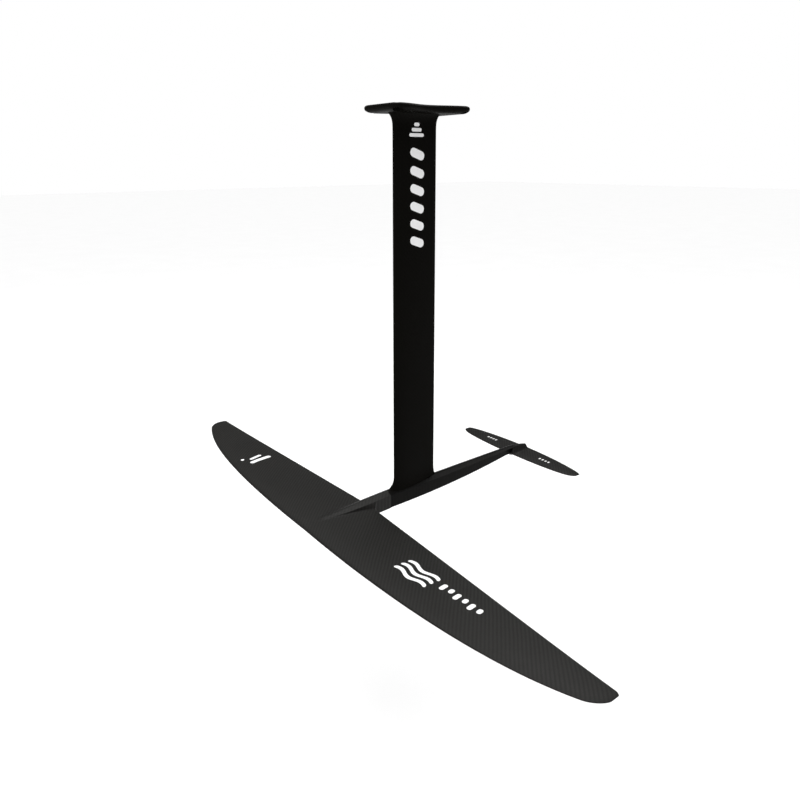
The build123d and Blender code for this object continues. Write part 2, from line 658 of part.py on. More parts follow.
make_screws(
    "stabilizer_screws",
    STAB_SCREW_XS,
    STAB_BUSH_FACE,
    M6_RADIUS,
    STAB_SCREW_LENGTH,
    M6_HEAD_RADIUS,
    M6_HEAD_HEIGHT,
)
make_bushes(
    "stabilizer_screw_bushes",
    STAB_SCREW_XS,
    STAB_BUSH_FACE,
    STAB_BUSH_RADIUS,
    STAB_BUSH_HEIGHT,
    M6_RADIUS + SCREW_CLEARANCE,
    M6_HEAD_RADIUS,
    M6_HEAD_HEIGHT,
)
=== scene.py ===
# %% [markdown]
# # A hydrofoil mast and wing set
# The object is the rigid foil of a foil board: a mast under a slotted plate, a fuselage, a long thin front
# wing and a small stabilizer. The CAD model already holds every piece at its place, in metres, with the
# board face at z = 0, the nose at +X and port at +Y. Here the outer shells get their smooth moulded
# surfaces, and every piece gets its finish.

# %% Load the frame
import json
from math import cos, pi, radians, sin, sqrt
import bmesh
import bpy
from mathutils import Matrix, Vector
from mathutils.bvhtree import BVHTree

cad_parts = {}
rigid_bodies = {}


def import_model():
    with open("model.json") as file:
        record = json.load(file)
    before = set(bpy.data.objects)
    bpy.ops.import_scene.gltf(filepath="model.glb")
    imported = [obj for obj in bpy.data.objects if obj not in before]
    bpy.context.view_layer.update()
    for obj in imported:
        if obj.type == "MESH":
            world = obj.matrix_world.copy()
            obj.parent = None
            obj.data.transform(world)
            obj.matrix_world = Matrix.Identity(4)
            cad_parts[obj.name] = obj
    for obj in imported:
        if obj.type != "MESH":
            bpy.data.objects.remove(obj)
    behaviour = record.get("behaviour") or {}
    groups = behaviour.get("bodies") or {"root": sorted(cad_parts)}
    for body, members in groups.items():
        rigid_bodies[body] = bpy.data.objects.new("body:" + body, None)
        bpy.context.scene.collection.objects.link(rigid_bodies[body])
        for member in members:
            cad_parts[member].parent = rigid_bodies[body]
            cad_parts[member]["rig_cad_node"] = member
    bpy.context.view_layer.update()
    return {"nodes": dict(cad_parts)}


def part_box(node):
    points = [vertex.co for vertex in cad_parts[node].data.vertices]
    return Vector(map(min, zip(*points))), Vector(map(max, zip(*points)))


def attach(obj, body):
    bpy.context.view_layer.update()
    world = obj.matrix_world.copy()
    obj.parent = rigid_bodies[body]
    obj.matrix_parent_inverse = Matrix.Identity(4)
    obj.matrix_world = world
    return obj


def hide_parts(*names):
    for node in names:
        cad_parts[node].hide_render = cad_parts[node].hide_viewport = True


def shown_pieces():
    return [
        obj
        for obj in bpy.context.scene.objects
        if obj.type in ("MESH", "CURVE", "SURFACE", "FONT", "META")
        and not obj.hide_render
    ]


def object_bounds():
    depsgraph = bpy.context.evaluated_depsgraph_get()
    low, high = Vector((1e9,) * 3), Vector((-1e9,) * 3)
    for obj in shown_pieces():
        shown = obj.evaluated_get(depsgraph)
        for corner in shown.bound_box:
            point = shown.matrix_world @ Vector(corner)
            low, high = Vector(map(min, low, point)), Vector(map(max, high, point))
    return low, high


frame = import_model()
MM = 0.001
MAST_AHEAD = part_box("mast_spar")[0].x + 3 * MM  # the spar's tail side is 3 mm behind the mast's centre line
print("mast's centre line is", round(MAST_AHEAD * 1000, 2), "mm ahead of the plate's centre")

# %% [markdown]
# ## Arithmetic in node trees
# Shapes and finishes below follow formulas, and a node tree writes a formula as one Math node per
# operation. Placing those by hand hides the formula. So a small class carries a socket and turns Python's
# own operators into Math nodes: the code then reads like the formula, and the tree is still a plain tree.

# %% A value in a node tree
class Field:
    """A socket's value. Arithmetic on it adds Math nodes to its tree."""

    def __init__(self, tree, socket):
        self.tree, self.socket = tree, socket

    def math(self, operation, *others):
        node = self.tree.nodes.new("ShaderNodeMath")
        node.operation = operation
        for entry, value in zip(node.inputs, (self, *others)):
            plug(self.tree, entry, value)
        return Field(self.tree, node.outputs[0])

    def __add__(self, other): return self.math("ADD", other)
    def __radd__(self, other): return self.math("ADD", other)
    def __sub__(self, other): return self.math("SUBTRACT", other)
    def __rsub__(self, other): return self.math("MULTIPLY", -1.0).math("ADD", other)
    def __mul__(self, other): return self.math("MULTIPLY", other)
    def __rmul__(self, other): return self.math("MULTIPLY", other)
    def __truediv__(self, other): return self.math("DIVIDE", other)
    def __neg__(self): return self.math("MULTIPLY", -1.0)
    def sqrt(self): return self.math("SQRT")
    def abs(self): return self.math("ABSOLUTE")
    def below(self, limit): return self.math("LESS_THAN", limit)
    def least(self, other): return self.math("MINIMUM", other)
    def most(self, other): return self.math("MAXIMUM", other)
    def clip(self, low, high): return self.most(low).least(high)

    def series(self, *factors):
        """factors[0] + factors[1] * self + factors[2] * self squared, and so on."""
        total = self * factors[-1]
        for factor in factors[-2:0:-1]:
            total = (total + factor) * self
        return total + factors[0]


def plug(tree, entry, value):
    """Gives a node's entry a constant, a socket or a Field."""
    if isinstance(value, Field):
        tree.links.new(value.socket, entry)
    elif isinstance(value, bpy.types.NodeSocket):
        tree.links.new(value, entry)
    else:
        entry.default_value = value


def add_node(tree, kind, **entries):
    """Adds a node and fills its entries by name, with _ for a space."""
    node = tree.nodes.new(kind)
    for name, value in entries.items():
        plug(tree, node.inputs[name.replace("_", " ")], value)
    return node


print("Field ready")

# %% [markdown]
# ## Finishes
# The wings are dry-looking carbon: a 2x2 twill of 3K tows under a thin satin lacquer. Such cloth shows as
# fine diagonal ribs rather than single tows from a little way off. It could be an image, but a formula is
# sharp at any distance: each tow has a number along x and one along y, and a twill shows the warp where
# their difference, counted in fours, is 0 or 1. That gives the colour step, the roughness step and the
# relief of the tows. The mast and the fuselage are the same carbon with a smoother finish. Their colours
# are darker, and that darkness is painted shade for upright sides that take little light.

# %% Start a material
def start_material(name):
    """An empty node material, with object coordinates as x, y and z Fields."""
    material = bpy.data.materials.new(name)
    material.use_nodes = True
    tree = material.node_tree
    shader = tree.nodes["Principled BSDF"]
    place = tree.nodes.new("ShaderNodeTexCoord").outputs["Object"]
    split = add_node(tree, "ShaderNodeSeparateXYZ", Vector=place)
    axes = [Field(tree, split.outputs[axis]) for axis in "XYZ"]
    return material, tree, shader, place, axes


def cloudiness(tree, place, scale, detail=4.0):
    """Soft cloudy variation from 0 to 1, with a size of about 1 / scale metres."""
    node = add_node(tree, "ShaderNodeTexNoise", Vector=place, Scale=scale, Detail=detail, Roughness=0.55)
    return Field(tree, node.outputs["Fac"])


def mix_colours(tree, share, first, second):
    """The colour between two colours at a share from 0 to 1."""
    node = tree.nodes.new("ShaderNodeMix")
    node.data_type = "RGBA"
    plug(tree, node.inputs[0], share)
    plug(tree, node.inputs[6], (*first, 1.0) if isinstance(first, tuple) else first)
    plug(tree, node.inputs[7], (*second, 1.0) if isinstance(second, tuple) else second)
    return node.outputs[2]


def dress(tree, shader, colour, roughness, height=None, relief=0.0002, strength=0.3):
    """Connects colour, roughness and relief to the shader."""
    plug(tree, shader.inputs["Base Color"], colour)
    plug(tree, shader.inputs["Roughness"], roughness)
    if height is not None:
        bump = add_node(tree, "ShaderNodeBump", Height=height, Distance=relief, Strength=strength)
        plug(tree, shader.inputs["Normal"], bump.outputs["Normal"])


# %% Carbon cloth
TOW = 2.3 * MM
TOW_RELIEF = 0.12 * MM
WAVINESS = 1.6  # how far a tow wanders, in tow widths
X, Y, Z = range(3)


def carbon(name, plane, dark, light, roughness, weave_relief, specular):
    """2x2 twill in the plane of two axes, with faint clouds, waviness and a satin lacquer."""
    material, tree, shader, place, axes = start_material(name)
    waviness = cloudiness(tree, place, 9.0, 2.0)
    u = axes[plane[0]] / TOW + (waviness - 0.5) * WAVINESS
    v = axes[plane[1]] / TOW - (waviness - 0.5) * WAVINESS
    column, row = u.math("FLOOR"), v.math("FLOOR")
    place_in_four = (column - row).math("FLOORED_MODULO", 4.0)
    warp_on_top = place_in_four.below(1.5)
    arch_u = (u.math("FRACT") * pi).math("SINE")
    arch_v = (v.math("FRACT") * pi).math("SINE")
    tow_height = warp_on_top * arch_u + (1.0 - warp_on_top) * arch_v
    clouds = cloudiness(tree, place, 14.0)
    grain = cloudiness(tree, place, 900.0, 2.0)
    tow_share = warp_on_top * 0.55 + tow_height * 0.2
    share = (tow_share + clouds * 0.5 - 0.2 + (grain - 0.5) * 0.25).clip(0.0, 1.0)
    colour = mix_colours(tree, share, dark, light)
    rough = (warp_on_top * -0.06 + clouds * 0.16 + roughness - 0.05 + (grain - 0.5) * 0.08).clip(0.05, 1.0)
    dress(tree, shader, colour, rough, tow_height + grain * 0.3, TOW_RELIEF, weave_relief)
    shader.inputs["Specular IOR Level"].default_value = specular
    return material


WING_CARBON = carbon(
    "wing_carbon", (X, Y), dark=(0.0065, 0.0063, 0.0057), light=(0.0128, 0.0123, 0.0112),
    roughness=0.5, weave_relief=0.35, specular=0.14,
)
STAB_CARBON = carbon(
    "stabilizer_carbon", (X, Y), dark=(0.0052, 0.0051, 0.0047), light=(0.0102, 0.0098, 0.009),
    roughness=0.5, weave_relief=0.35, specular=0.1,
)
# Painted shade: the mast's colours are darker than the wing's because its upright sides take little light.
MAST_SHADED_CARBON = carbon(
    "mast_carbon_painted_shade", (X, Z), dark=(0.0024, 0.0022, 0.0017), light=(0.0032, 0.0029, 0.0023),
    roughness=0.5, weave_relief=0.08, specular=0.02,
)
# Painted shade: the fuselage's colours are darker still because its sides take little light.
BOOM_SHADED_CARBON = carbon(
    "fuselage_carbon_painted_shade", (X, Y), dark=(0.0013, 0.0012, 0.001), light=(0.0023, 0.0021, 0.0018),
    roughness=0.4, weave_relief=0.12, specular=0.04,
)
print("carbon finishes:", [m.name for m in (WING_CARBON, STAB_CARBON, MAST_SHADED_CARBON, BOOM_SHADED_CARBON)])

# %% [markdown]
# The small parts have simpler finishes. A machined steel head is brushed in circles, so its streaks come
# from noise stretched along one axis. Foam is a fine cell pattern, brass is warm with faint tarnish, and
# the white paint of the marks has a slight orange peel.

# %% Small parts' finishes
def streaked(name, dark, light, roughness, metallic, stretch):
    """A surface whose noise is drawn out along one axis, for brushed metal or raw fibre."""
    material, tree, shader, place, axes = start_material(name)
    node = add_node(tree, "ShaderNodeMapping", Vector=place)
    node.inputs["Scale"].default_value = stretch
    streaks = cloudiness(tree, node.outputs["Vector"], 60.0)
    clouds = cloudiness(tree, place, 70.0)
    share = (streaks * 0.8 + clouds * 0.4 - 0.1).clip(0.0, 1.0)
    dress(
        tree, shader, mix_colours(tree, share, dark, light), (streaks * 0.2 + roughness - 0.1), streaks, 0.00005
    )
    shader.inputs["Metallic"].default_value = metallic
    return material


def foam(name, dark, light):
    """Closed-cell foam: small rounded cells with darker walls."""
    material, tree, shader, place, axes = start_material(name)
    cells = Field(tree, add_node(tree, "ShaderNodeTexVoronoi", Vector=place, Scale=1400.0).outputs["Distance"])
    clouds = cloudiness(tree, place, 30.0)
    colour = mix_colours(tree, (cells * 0.9 + clouds * 0.3 - 0.1).clip(0.0, 1.0), dark, light)
    dress(tree, shader, colour, clouds * 0.1 + 0.78, cells, 0.0003, 0.5)
    return material


STEEL = streaked("brushed_steel", (0.42, 0.42, 0.43), (0.62, 0.62, 0.63), 0.3, 1.0, (1.0, 14.0, 14.0))
BRASS = streaked("insert_brass", (0.5, 0.34, 0.12), (0.68, 0.5, 0.22), 0.32, 1.0, (1.0, 1.0, 16.0))
RAW_CARBON = streaked("raw_carbon", (0.008, 0.008, 0.009), (0.03, 0.03, 0.032), 0.6, 0.0, (1.0, 30.0, 30.0))
SHIM = streaked("shim_plastic", (0.015, 0.015, 0.016), (0.03, 0.03, 0.032), 0.55, 0.0, (3.0, 3.0, 3.0))
FOAM = foam("core_foam", (0.5, 0.44, 0.3), (0.72, 0.66, 0.5))
PAINT = streaked("white_paint", (0.78, 0.78, 0.78), (0.86, 0.86, 0.86), 0.35, 0.0, (1.0, 1.0, 1.0))
print("small parts' finishes:", [m.name for m in (STEEL, BRASS, RAW_CARBON, SHIM, FOAM, PAINT)])

# %% Dress the CAD nodes
FINISH_OF_SLOT = {
    "satin_carbon": BOOM_SHADED_CARBON,
    "woven_carbon": WING_CARBON,
    "raw_carbon": RAW_CARBON,
    "core_foam": FOAM,
    "fastener_steel": STEEL,
    "insert_brass": BRASS,
    "shim_plastic": SHIM,
}
for name, node in frame["nodes"].items():
    for entry in node.material_slots:
        entry.material = FINISH_OF_SLOT[entry.material.name.split(".")[0]]
print("CAD nodes dressed:", len(frame["nodes"]))

# %% [markdown]
# ## Wings from a formula
# A wing is one closed skin whose section follows the same rule from tip to tip, so it suits Geometry Nodes.
# A flat grid is the raw material: one way across the span, the other way once round the section, from the
# tail under the nose and back over the top. Each grid point then moves to its place on the wing. Grid lines
# lie closer together at the root, the tips, the nose and the tail, where the surface turns fastest.

# %% Outline of a foil section
def half_thickness(s):
    """Half thickness of a foil section at share s of its chord, as a share of the largest."""
    if isinstance(s, Field):
        return s.sqrt() * 2.969 + s.series(0.0, -1.26, -3.516, 2.843, -1.036)
    return 2.969 * sqrt(s) - 1.26 * s - 3.516 * s**2 + 2.843 * s**3 - 1.036 * s**4


# %% Build one wing tree
def rounded(distance, radius):
    """How far a fillet of that radius has come in at a distance from its start, both as Fields."""
    reach = radius - distance.clip(0.0, 1.0).least(radius)
    return radius - (radius * radius - reach * reach).most(0.0).sqrt()


SEAM = 0.49999  # past this share the section's two ends meet at the tail edge
HUB_STEP = 0.1 * MM  # from the hub's last grid line to the wing's first


def wing_tree(name, sizes, plan, lines_across, lines_round, hub=None, fairing=None):
    """A Geometry Nodes tree for one wing. plan gives nose, tail, level and thickness at a share of the span.
    hub and fairing are optional rules that raise the middle of the surface."""
    tree = bpy.data.node_groups.new(name, "GeometryNodeTree")
    for label, value in sizes.items():
        entry = tree.interface.new_socket(name=label, in_out="INPUT", socket_type="NodeSocketFloat")
        entry.default_value = value
    tree.interface.new_socket(name="Material", in_out="INPUT", socket_type="NodeSocketMaterial")
    tree.interface.new_socket(name="Wing", in_out="OUTPUT", socket_type="NodeSocketGeometry")
    given = tree.nodes.new("NodeGroupInput")
    size = {label: Field(tree, given.outputs[label]) for label in sizes}

    grid = add_node(
        tree, "GeometryNodeMeshGrid", Size_X=2.0, Size_Y=1.0, Vertices_X=lines_across, Vertices_Y=lines_round
    )
    flat = add_node(tree, "ShaderNodeSeparateXYZ", Vector=tree.nodes.new("GeometryNodeInputPosition").outputs[0])
    across, around = Field(tree, flat.outputs["X"]), Field(tree, flat.outputs["Y"])
    side, reach = across.math("SIGN"), across.abs()
    turn = around * (2 * pi)
    share = (turn.math("COSINE") * -0.5 + 0.5).clip(0.0, 1.0)
    top_side = around.math("GREATER_THAN", 0.0)
    not_seam = around.abs().below(SEAM)

    half_span = size["Half Span"]
    if hub:
        hub_lines = size["Hub Lines"]
        on_hub = reach.below(hub_lines + 0.0001)
        past = ((reach - hub_lines) / (1.0 - hub_lines)).most(0.0)
        ease = (past * (pi / 2)).math("SINE")
        blade_span = half_span - size["Hub Half Width"] - HUB_STEP
        on_blade = (1.0 - on_hub) * (blade_span * ease * ease + HUB_STEP)
        y = reach.least(hub_lines) / hub_lines * size["Hub Half Width"] + on_blade
    else:
        y = (reach * (pi / 2)).math("SINE") * half_span
    t = y / size["Plan Half Span"]
    nose, tail, level, thickness = plan(t, size)
    tip_share = half_span / size["Plan Half Span"]
    closing = ((t - size["Tip Closing"]) / (tip_share - size["Tip Closing"])).clip(0.0, 1.0)
    fullness = (1.0 - closing * closing).most(0.0).sqrt()
    end = tail
    if hub:
        tail = tail - rounded(y - size["Hub Half Width"], size["Tail Fillet"])
        end = on_hub * size["Hub Tail"] + (1.0 - on_hub) * tail
    x = nose - (nose - end) * share
    s = ((nose - x) / (nose - tail)).clip(0.0, 1.0)
    bulge = half_thickness(s) * thickness * fullness
    edge = s * size["Tail Edge"] * 0.5 * fullness
    upper = level + bulge * size["Upper Share"] + edge
    lower = level - bulge * (1.0 - size["Upper Share"]) - edge
    if hub:
        upper, lower = hub(x, y, tail, upper, lower, size)
    if fairing:
        upper = fairing(x, y, upper, size)
    middle = (upper + lower) * 0.5
    z = middle + (top_side * (upper - lower) - (upper - lower) * 0.5) * not_seam
    place = add_node(tree, "ShaderNodeCombineXYZ", X=x, Y=y * side, Z=z)
    moved = add_node(tree, "GeometryNodeSetPosition", Geometry=grid.outputs["Mesh"], Position=place.outputs[0])
    joined = add_node(tree, "GeometryNodeMergeByDistance", Geometry=moved.outputs[0], Distance=0.00001)
    real = add_node(tree, "GeometryNodeRealizeInstances", Geometry=joined.outputs[0])
    painted = add_node(
        tree, "GeometryNodeSetMaterial", Geometry=real.outputs[0], Material=given.outputs["Material"]
    )
    out = add_node(tree, "NodeGroupOutput")
    tree.links.new(painted.outputs[0], out.inputs["Wing"])
    return tree


# %% Turn a tree into a plain mesh
def finished(name, source):
    """The evaluated source as a plain mesh object, and the source removed."""
    mesh = bpy.data.meshes.new_from_object(source.evaluated_get(bpy.context.evaluated_depsgraph_get()))
    mesh.name = name
    bpy.data.objects.remove(source)
    return link(name, mesh)


def link(name, mesh):
    """Puts a mesh in the scene as an object at the origin."""
    piece = bpy.data.objects.new(name, mesh)
    bpy.context.scene.collection.objects.link(piece)
    return piece


def grow(name, tree, material, sizes):
    """A plain mesh made by a Geometry Nodes tree with these inputs."""
    seed = link(name + "_seed", bpy.data.meshes.new(name + "_seed"))
    modifier = seed.modifiers.new("grow", "NODES")
    modifier.node_group = tree
    for item in tree.interface.items_tree:
        if item.in_out == "INPUT":
            modifier[item.identifier] = material if item.name == "Material" else sizes[item.name]
    return finished(name, seed)


SAME_POINT = 1e-6


def face_outwards(piece):
    """Recalculates the normals of a closed mesh so that they point outwards, and reports its state."""
    shape = bmesh.new()
    shape.from_mesh(piece.data)
    bmesh.ops.remove_doubles(shape, verts=shape.verts, dist=SAME_POINT)
    bmesh.ops.dissolve_degenerate(shape, edges=shape.edges, dist=SAME_POINT)
    bmesh.ops.recalc_face_normals(shape, faces=shape.faces)
    if shape.calc_volume(signed=True) < 0:
        bmesh.ops.reverse_faces(shape, faces=shape.faces)
    open_edges = sum(1 for e in shape.edges if len(e.link_faces) != 2)
    shape.to_mesh(piece.data)
    print(piece.name, "faces", len(shape.faces), "open edges", open_edges,
          "volume cm3", round(shape.calc_volume() * 1e6, 1))
    shape.free()


def smooth_by_angle(piece, degrees):
    """Smooth shading with creases where faces meet at more than this angle, flat faces kept flat."""
    piece.data.shade_smooth()
    piece.data.set_sharp_from_angle(angle=radians(degrees))
    modifier = piece.modifiers.new("weighted", "WEIGHTED_NORMAL")
    modifier.keep_sharp = True
    return finished(piece.name, piece)


# %% [markdown]
# ## Front wing
# The front wing is one moulding: long swept blades that thin towards rounded tips, and a hub in the middle
# that carries the fuselage's lines forward until they sink into the wing. The hub could be a second mesh
# joined on, but the join is a soft hollow on the real one. A smooth maximum of the two surfaces' heights
# gives that hollow directly, so wing and hub are one grid. Behind the wing's tail edge the grid goes on as
# the hub alone, up to the fuselage.

# %% Plan of the front wing
FRONT_SIZES = {
    "Half Span": 0.6868, "Plan Half Span": 0.688, "Hub Lines": 30 / 220, "Hub Half Width": 0.0144,
    "Hub Tail": 0.078, "Tail Fillet": 0.012, "Thickness": 0.105, "Thinning": 0.012, "Upper Share": 0.6,
    "Tail Edge": 0.0009, "Tip Round": 0.025, "Tip Round Start": 0.955, "Tip Closing": 0.985, "Tail Corner": 0.009,
    "Hollow": 0.012, "Flank Slope": 4.5,
}


def front_plan(t, size):
    nose = t.series(0.2955, 0.0119, -0.0455, 0.0, -0.0323, 0.0, 0.0, 0.0, -0.0202)
    tail = t.series(0.1275, 0.0379, 0.0173, 0.0, -0.0113, 0.0, 0.0, 0.0, -0.0022)
    tip = ((t - size["Tip Round Start"]) / (1.0 - size["Tip Round Start"])).clip(0.0, 1.0)
    nose = nose - size["Tip Round"] * (1.0 - (1.0 - tip * tip).sqrt())
    corner = ((t - size["Tip Closing"]) / (1.0 - size["Tip Closing"])).clip(0.0, 1.0)
    tail = tail + size["Tail Corner"] * (1.0 - (1.0 - corner * corner).sqrt())
    level = t.series(-0.8296, 0.0, 0.014, 0.0, -0.010)
    return nose, tail, level, (nose - tail) * (size["Thickness"] - size["Thinning"] * t)


ROOF_FLAT, ROOF_DROP = 0.22, 0.14  # flat share of the half width, and the shoulders' drop as a share of the height
HUB_TAPER_START, HUB_TAPER = 0.128, 0.142


def front_hub(x, y, tail, upper, lower, size):
    """Blends the hub's roof, sides and keel into the wing's two surfaces."""
    ahead = x - size["Hub Tail"]
    width = size["Hub Half Width"]
    narrowing = ((x - HUB_TAPER_START).most(0.0) / HUB_TAPER).math("POWER", 2.0)
    half_width = width * (1.0 - narrowing).most(0.001).sqrt()
    nose_sink = (x - 0.246).most(0.0) * 0.6
    top = ahead.series(-0.80852, -0.03, -0.18)
    bottom = ahead.series(-0.84793, -0.06, 0.65)
    height = top - bottom
    side_slope = (y - half_width).most(0.0) * size["Flank Slope"]
    roof = ((y / half_width - ROOF_FLAT) / (1.0 - ROOF_FLAT)).clip(0.0, 1.0)
    hub_upper = top - height * ROOF_DROP * roof - side_slope - nose_sink
    keel_radius = half_width * 0.31
    past_keel = (y - half_width + keel_radius).clip(0.0, 1.0).least(keel_radius)
    keel = keel_radius - (keel_radius * keel_radius - past_keel.math("POWER", 2.0)).most(0.0).sqrt()
    hub_lower = bottom + keel + side_slope + nose_sink
    behind = (tail - x).most(0.0) * 3.0
    upper = (upper - behind).math("SMOOTH_MAX", hub_upper, size["Hollow"])
    lower = (lower + behind).math("SMOOTH_MIN", hub_lower, size["Hollow"])
    return upper, lower


# %% Make the front wing
front_tree = wing_tree("Front wing", FRONT_SIZES, front_plan, 441, 129, front_hub)
front_wing = grow("front_wing", front_tree, WING_CARBON, FRONT_SIZES)
face_outwards(front_wing)


# %% [markdown]
# ## Solid shapes from outlines
# The plate, its slots, the screw recesses and the mast's tenon are all outlines pushed along z. One helper
# stacks rings of points and closes both ends, so a rounded edge is a few rings that step inwards. Where
# shapes meet, a Boolean modifier with the exact solver joins or cuts them, and leaves no hidden faces.

# %% Stack rings into a solid
def stack(name, rings, mirrored_caps=False):
    """A closed mesh through rings of equally many points. Each end is closed by a cap."""
    count = len(rings[0])
    points = [p for ring in rings for p in ring]
    faces = [
        (r * count + i, r * count + (i + 1) % count, (r + 1) * count + (i + 1) % count, (r + 1) * count + i)
        for r in range(len(rings) - 1)
        for i in range(count)
    ]
    for start in (0, (len(rings) - 1) * count):
        if mirrored_caps:  # strips between points that face each other across the chord
            faces += [
                tuple(dict.fromkeys(
                    start + corner for corner in (i, i + 1, (count - i - 1) % count, (count - i) % count)
                ))
                for i in range(count // 2)
            ]
        else:
            faces.append(tuple(range(start, start + count)))
    mesh = bpy.data.meshes.new(name)
    mesh.from_pydata(points, [], faces)
    piece = link(name, mesh)
    face_outwards(piece)
    return piece


def slot_ring(x, y, length, width, z, steps=16):
    """Points of a round-ended slot that runs along x."""
    radius, straight = width / 2, (length - width) / 2
    ring = []
    for end in (1, -1):
        for i in range(steps + 1):
            angle = pi * i / steps - pi / 2
            ring.append((x + end * (straight + radius * cos(angle)), y + end * radius * sin(angle), z))
    return ring


def slot_prism(name, x, y, length, width, low, high):
    return stack(name, [slot_ring(x, y, length, width, z) for z in (low, high)])


def combine(piece, tools, operation):
    """Joins or cuts piece with other solids, which are used up."""
    for tool in tools:
        modifier = piece.modifiers.new(operation, "BOOLEAN")
        modifier.operation, modifier.solver, modifier.object = operation, "EXACT", tool
    result = finished(piece.name, piece)
    for tool in tools:
        bpy.data.objects.remove(tool)
    return result


# %% Sink the screw bushes into the hub
WING_SCREW_XS = (0.096, 0.122, 0.148)
BUSH_LENGTH, BUSH_WIDTH, BUSH_TOP, BELOW_HUB = 0.0149, 0.0148, -0.8423, -0.86
bushes = [
    slot_prism(f"recess_{i}", x, 0.0, BUSH_LENGTH, BUSH_WIDTH, BELOW_HUB, BUSH_TOP)
    for i, x in enumerate(WING_SCREW_XS)
]
front_wing = combine(front_wing, bushes, "DIFFERENCE")
front_wing = smooth_by_angle(front_wing, 35)
print("front wing faces", len(front_wing.data.polygons))

# %% [markdown]
# ## Stabilizer
# The tail wing is the same kind of moulding, small and symmetric, with tips that narrow to a rounded point.
# It reuses the wing tree with its own plan.

# %% Make the stabilizer
STAB_SIZES = {
    "Half Span": 0.196, "Plan Half Span": 0.199, "Thickness": 0.11, "Upper Share": 0.48, "Tail Edge": 0.0007,
    "Tip Round": 0.014, "Tip Round Start": 0.86, "Tip Closing": 0.93, "Fairing Width": 0.0085,
    "Fairing Hollow": 0.01,
}


def stab_plan(t, size):
    nose = t.series(-0.321, 0.0, -0.0121, 0.0, 0.0, 0.0, -0.008)
    tail = t.series(-0.3865, 0.0, 0.0182, 0.0, 0.0, 0.0, 0.004)
    tip = ((t - size["Tip Round Start"]) / (1.0 - size["Tip Round Start"])).clip(0.0, 1.0)
    drawn_in = size["Tip Round"] * (1.0 - (1.0 - tip * tip).sqrt())
    nose, tail = nose - drawn_in, tail + drawn_in * 0.3
    return nose, tail, t * 0.0 - 0.8248, (nose - tail) * size["Thickness"]


def tail_fairing(x, y, upper, size):
    """A mound that carries the fuselage's tail over the wing and fades towards its tail edge."""
    behind = (-0.320 - x).most(0.0)
    ridge = behind.series(-0.8059, -0.005, -1.9) - (-0.381 - x).most(0.0) * 1.5
    half_width = size["Fairing Width"] - behind * 0.06
    dome = (y / half_width).math("POWER", 2.0) * 0.0022
    flank = (y - half_width).most(0.0) * 0.85
    return upper.math("SMOOTH_MAX", ridge - dome - flank - (x + 0.326).most(0.0) * 4.0, size["Fairing Hollow"])


stab_tree = wing_tree("Stabilizer", STAB_SIZES, stab_plan, 321, 97, fairing=tail_fairing)
stabilizer = grow("stabilizer", stab_tree, STAB_CARBON, STAB_SIZES)
face_outwards(stabilizer)
stabilizer = smooth_by_angle(stabilizer, 35)

# %% [markdown]
# ## Mast and plate
# Mast and plate are one moulding. The blade is a stack of foil sections. At its head they grow in a curve
# into the plate, and at its foot they spread and stop on the fuselage's sloping roof. The plate's long
# sides are drawn in beside the mast, and each of its four slots has a flat recess underneath for a washer.

# %% Blade sections
MAST_FOOT = -0.808
CHORD_TOP, CHORD_GROWTH = 0.108, 0.0095
HALF_BLADE, BLADE_EDGE = 0.0075, 0.001
SECTION_POINTS = 96
FOOT_SINK = 0.0004


def roof_height(x, y):
    """Height of the fuselage's roof, where the mast's foot stands."""
    top, bottom = MAST_FOOT - 0.0067 * x, -0.847 - 0.025 * x + 0.167 * x * x
    half_width = 0.015 - 0.064 * x * x
    slope = min(max((abs(y) / half_width - ROOF_FLAT) / (1.0 - ROOF_FLAT), 0.0), 1.0)
    return top - ROOF_DROP * (top - bottom) * slope


def blade_ring(z, nose_out=0.0, tail_out=0.0, side_out=0.0, foot_share=None):
    """Points round the blade at height z, or for the foot at a share of the way down to the roof."""
    chord = CHORD_TOP + CHORD_GROWTH * z / MAST_FOOT
    nose, length, half = chord / 2 + nose_out, chord + nose_out + tail_out, HALF_BLADE + side_out
    ring = []
    for i in range(SECTION_POINTS):
        turn = 2 * pi * i / SECTION_POINTS
        s = (1 + cos(turn)) / 2
        side = 0 if i in (0, SECTION_POINTS // 2) else (1 if i < SECTION_POINTS // 2 else -1)
        x, y = nose - length * s, side * ((half - BLADE_EDGE) * half_thickness(s) + BLADE_EDGE * s)
        low = z if foot_share is None else z + foot_share * (roof_height(x, y) - FOOT_SINK - z)
        ring.append((x, y, low))
    return ring


HEAD_STEPS, HEAD_TOP, HEAD_DEPTH, HEAD_OUT = 20, -0.0115, 0.0505, 0.014
FOOT_START, FOOT_NOSE_OUT, FOOT_TAIL_OUT, FOOT_SIDE_OUT = -0.774, 0.016, 0.006, 0.005

head = []
for i in range(HEAD_STEPS + 1):
    share = (i / HEAD_STEPS) ** 2
    out = HEAD_OUT * (1 - share) ** 6
    head.append(blade_ring(HEAD_TOP - HEAD_DEPTH * share, out, out, 0.8 * out))
blade = [blade_ring(z) for z in (-0.2, -0.34, -0.48, -0.62, FOOT_START)]
foot = []
for share in (0.2, 0.4, 0.55, 0.68, 0.78, 0.86, 0.92, 0.97, 1.0):
    spread = share**3
    foot.append(blade_ring(
        FOOT_START, FOOT_NOSE_OUT * spread, FOOT_TAIL_OUT * spread, FOOT_SIDE_OUT * spread, share
    ))
mast = stack("mast", head + blade + foot, mirrored_caps=True)

# %% Plate outline
PLATE_HALF_LENGTH, PLATE_HALF_WIDTH, PLATE_CORNER, PLATE_WAIST = 0.0975, 0.056, 0.020, 0.018
PLATE_THICKNESS, PLATE_LOWER_ROUND, PLATE_UPPER_ROUND = 0.014, 0.0085, 0.0050
PLATE_LOWER_INSET, PLATE_UPPER_INSET = 0.013, 0.0075


